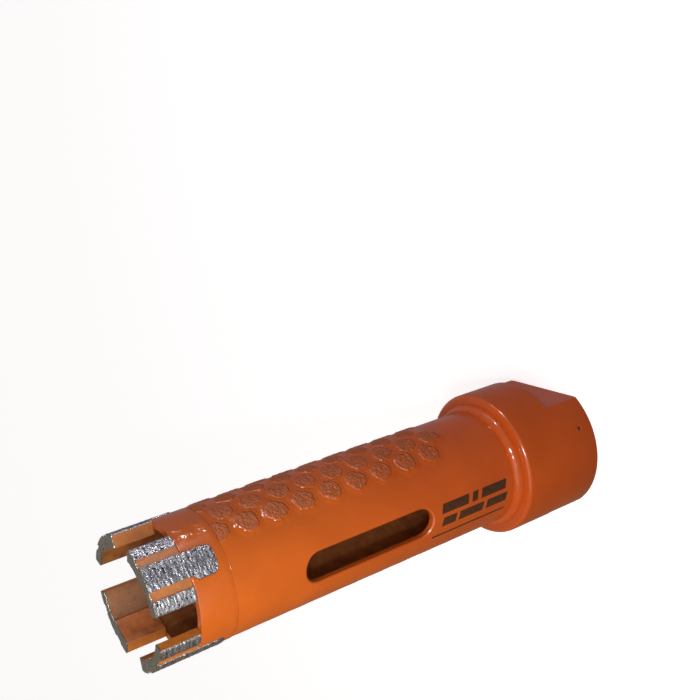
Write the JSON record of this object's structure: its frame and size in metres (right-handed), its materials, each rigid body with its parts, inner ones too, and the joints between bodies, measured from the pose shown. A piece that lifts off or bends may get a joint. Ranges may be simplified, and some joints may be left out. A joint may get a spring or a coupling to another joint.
{
  "type": "diamond core bit",
  "caption": "Dry diamond core drill bit: threaded hub with spanner flats, slotted tube, side grit pads and a crown of four ridged diamond segments.",
  "frame": {"origin": "centre of the hub's end face, on the tool's axis", "axes": "+Z along the tool's axis from the hub to the cutting end; the slot in the barrel faces -Y"},
  "size_m": [0.0312, 0.0312, 0.1037],
  "materials": {
    "hub_paint": "gloss orange paint on steel",
    "tube_paint": "gloss orange paint on steel",
    "pad_paint": "gloss orange paint over coarse grit",
    "diamond_matrix": "ground sintered metal with diamond grit, paint left in the grooves"
  },
  "bodies": {
    "root": {"hub": "hub_paint", "weld_bead": "hub_paint", "barrel": "tube_paint", "crown_ring": "tube_paint", "segment_front_right": "diamond_matrix", "segment_back_right": "diamond_matrix", "segment_back_left": "diamond_matrix", "segment_front_left": "diamond_matrix", "right_pads_a": "pad_paint", "right_pads_b": "pad_paint", "right_pads_c": "pad_paint", "right_pads_d": "pad_paint", "left_pads_a": "pad_paint", "left_pads_b": "pad_paint", "left_pads_c": "pad_paint", "left_pads_d": "pad_paint"}
  },
  "joints": []
}
